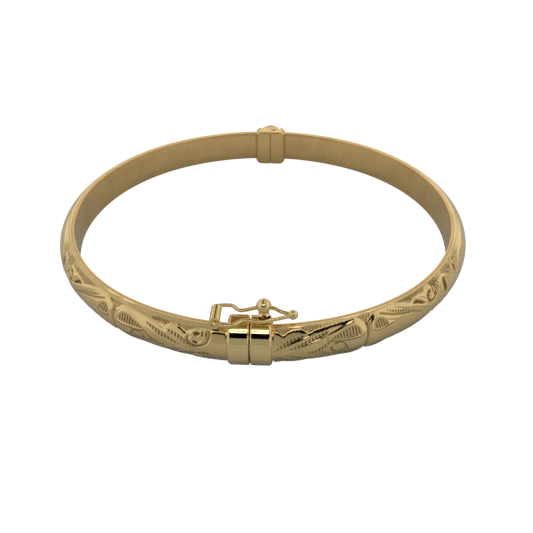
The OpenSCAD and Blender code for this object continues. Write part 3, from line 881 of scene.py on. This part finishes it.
half = safety["tubeLength"] / 2
tubeEnd = [(safety["tubeRadius"] - inset, -half + along) for inset, along in safety["tubeEnd"]]
tubeProfile = tubeEnd + [(r, -along) for r, along in tubeEnd[::-1]] + tubeEnd[:1]
tubePlace = (safety["pivotX"], safety["tubeMiddle"], safety["height"])
tube = buildTurned("safetyPivotTube", tubeProfile, tubePlace, Matrix.Rotation(math.pi / 2, 3, "X"))
finish(tube, "left_half", wireGold, "safety_pivot_tube")
wire = buildWire("safetyWire", safety["front"][::-1] + safety["back"], safety["wireRadius"], safety["height"])
finish(wire, "safety_catch", wireGold, "safety_wire")
endBall = buildBall("safetyEndBall", safety["endBall"] + (safety["height"],), safety["endRadius"])
finish(endBall, "safety_catch", wireGold, "safety_end_ball")

# the leaves and the saddle keep their own shape and only gain a finish
keptNodes = {"tongue_lower_leaf": springGold, "tongue_upper_leaf": springGold, "tube_saddle": wireGold}
for node, material in keptNodes.items():
    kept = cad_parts[node]
    kept.data.materials.clear()
    kept.data.materials.append(material)
print("catches built")

# a pale floor in a grey tent, lit from the front, the back and above; softboxes are in metres and watts
studio = {
    "floorSize": 900, "floorGlow": 1.25, "floorShade": 0.18, "floorMirrored": 0.74, "floorWhite": 0.95,
    "surround": 0.34, "sides": 0.4, "above": 0.08, "behind": 0.2,
    "cameraPlace": (5.471, -89.052, 61.133), "azimuth": -3.14, "elevation": 36.899, "roll": -0.347, "lens": 42.66,
    "softboxes": [
        # name, place, target, size, power
        ("lowFrontSoftbox", (0.0, -0.200, 0.190), (0, -0.03, 0.006), (0.26, 0.022), 0.047),
        ("highFrontSoftbox", (0.0, -0.1698, 0.2133), (0, -0.03, 0.006), (0.30, 0.022), 0.042),
        ("backSoftbox", (0.0, 0.150, 0.078), (0, 0.03, 0.006), (0.20, 0.055), 0.015),
        ("roofSoftbox", (0.02, 0.04, 0.36), (0, 0, 0), (0.14, 0.10), 0.05),
    ],
}
bm = bmesh.new()
bmesh.ops.create_grid(bm, x_segments=1, y_segments=1, size=studio["floorSize"])
bmesh.ops.translate(bm, vec=(0, 0, -0.02), verts=bm.verts[:])
floor = newObject("studioFloor", bm, smooth=False)
floorPaint = bpy.data.materials.new("studioFloorPaint")
floorPaint.use_nodes = True
tree = floorPaint.node_tree
tree.nodes.clear()
outNode = tree.nodes.new("ShaderNodeOutputMaterial")
glow = addNode(tree, "ShaderNodeEmission", in_Color=(1, 1, 1, 1), in_Strength=studio["floorGlow"])
paint = addNode(tree, "ShaderNodeBsdfDiffuse", in_Color=(studio["floorWhite"],) * 3 + (1,))
shown = addNode(tree, "ShaderNodeMixShader", in_Fac=studio["floorShade"])
tree.links.new(glow.outputs[0], shown.inputs[1])
tree.links.new(paint.outputs[0], shown.inputs[2])
mirrored = addNode(tree, "ShaderNodeBsdfDiffuse", in_Color=(studio["floorMirrored"],) * 3 + (1,))
path = tree.nodes.new("ShaderNodeLightPath")
pick = tree.nodes.new("ShaderNodeMixShader")
tree.links.new(path.outputs["Is Camera Ray"], pick.inputs["Fac"])
tree.links.new(mirrored.outputs[0], pick.inputs[1])
tree.links.new(shown.outputs[0], pick.inputs[2])
tree.links.new(pick.outputs[0], outNode.inputs["Surface"])
floor.data.materials.append(floorPaint)

world = bpy.data.worlds.new("softTent")
scene.world = world
world.use_nodes = True
sky = world.node_tree
background = sky.nodes["Background"]
# the tent is brighter at its sides and behind, and a little brighter above
where = sky.nodes.new("ShaderNodeTexCoord")
split = sky.nodes.new("ShaderNodeSeparateXYZ")
sky.links.new(where.outputs["Generated"], split.inputs[0])


def wall(value, low, high, gain):
    near = addNode(sky, "ShaderNodeMapRange", interpolation_type="SMOOTHSTEP", in_From_Min=low, in_From_Max=high)
    sky.links.new(value, near.inputs["Value"])
    return mathNode(sky, "MULTIPLY", near.outputs[0], gain)


total = wall(mathNode(sky, "ABSOLUTE", split.outputs["X"], 0), 0.3, 0.85, studio["sides"])
total = mathNode(sky, "ADD", total, wall(split.outputs["Z"], 0.5, 0.95, studio["above"]))
total = mathNode(sky, "ADD", total, wall(split.outputs["Y"], 0.3, 0.9, studio["behind"]))
total = mathNode(sky, "ADD", total, studio["surround"])
tone = sky.nodes.new("ShaderNodeCombineColor")
for channel in tone.inputs[:3]:
    sky.links.new(total, channel)
sky.links.new(tone.outputs[0], background.inputs["Color"])
background.inputs["Strength"].default_value = 1.0


def softLight(name, place, target, size, power):
    data = bpy.data.lights.new(name, "AREA")
    data.shape = "RECTANGLE"
    data.size, data.size_y = size
    data.energy = power
    lamp = linkObject(name, data)
    lamp.location = place
    lamp.rotation_euler = (Vector(target) - Vector(place)).to_track_quat("-Z", "Y").to_euler()


for softbox in studio["softboxes"]:
    softLight(*softbox)

# two arched cards that the camera doesn't see: a dark one in front, and a brown one that the tops of the clasp mirror
cards = {
    "darkCentre": (0, -30, 0), "darkHang": 6, "darkReach": 120.0, "darkFrom": 25, "darkTo": 45.5,
    "darkTurn": -40, "darkSweep": 96, "darkSteps": 32,
    "warmCentre": (0, -29, 7), "warmReach": 50.0, "warmFrom": 63, "warmTo": 146, "warmSpan": (-13, 8),
    "warmSteps": 20, "warmGlow": (0.22, 0.13, 0.045, 1),
}


def hangCard(name, ends, centre, axis, sweep, steps, turn=0, glow=None):
    # sweeps an edge round a centre, all in degrees and millimetres
    bm = bmesh.new()
    verts = [bm.verts.new(end) for end in ends]
    bmesh.ops.rotate(bm, verts=verts, cent=centre, matrix=Matrix.Rotation(math.radians(turn), 3, "Z"))
    geom = verts + [bm.edges.new(verts)]
    bmesh.ops.spin(bm, geom=geom, cent=centre, axis=axis, angle=math.radians(sweep), steps=steps)
    card = newObject(name, bm, smooth=False)
    card.visible_camera = False
    paint = bpy.data.materials.new(name + "Paint")
    paint.use_nodes = True
    shader = paint.node_tree.nodes["Principled BSDF"]
    shader.inputs["Base Color"].default_value = (0.0, 0.0, 0.0, 1)
    shader.inputs["Specular IOR Level"].default_value = 0.0
    if glow:
        shader.inputs["Emission Color"].default_value = glow
        shader.inputs["Emission Strength"].default_value = 1.0
    card.data.materials.append(paint)
    return card


def cardEdge(x, centre, reach, tilt, hang=0):
    # a point at a tilt up from the front of the centre
    turn = math.radians(tilt)
    return (x, centre[1] - reach * math.cos(turn), centre[2] + hang + reach * math.sin(turn))


c = cards
tilts = (c["darkFrom"], c["darkTo"])
darkEnds = [cardEdge(0, c["darkCentre"], c["darkReach"], tilt, c["darkHang"]) for tilt in tilts]
hangCard("darkCard", darkEnds, c["darkCentre"], (0, 0, 1), c["darkSweep"], c["darkSteps"], turn=c["darkTurn"])
warmEnds = [cardEdge(x, c["warmCentre"], c["warmReach"], c["warmFrom"]) for x in c["warmSpan"]]
warmCard = hangCard("warmCard", warmEnds, c["warmCentre"], (-1, 0, 0), c["warmTo"] - c["warmFrom"], c["warmSteps"],
                    glow=c["warmGlow"])
warmCard.visible_shadow = False
warmCard.visible_diffuse = False

az, el, ro = (math.radians(studio[key]) for key in ("azimuth", "elevation", "roll"))
forward = Vector((math.sin(az) * math.cos(el), math.cos(az) * math.cos(el), -math.sin(el)))
right = Vector((math.cos(az), -math.sin(az), 0))
upward = right.cross(forward)
rightRolled = right * math.cos(ro) + upward * math.sin(ro)
upRolled = upward * math.cos(ro) - right * math.sin(ro)
axes = Matrix((rightRolled, upRolled, -forward)).transposed().to_4x4()
cameraData = bpy.data.cameras.new("camera")
camera = linkObject("camera", cameraData)
cameraData.lens = studio["lens"]
cameraData.sensor_width = 36
cameraData.clip_start = 0.005
camera.matrix_world = Matrix.Translation(Vector(studio["cameraPlace"]) * mm) @ axes
scene.camera = camera
scene.view_settings.view_transform = "Standard"
scene.cycles.caustics_reflective = False
print("studio ready")
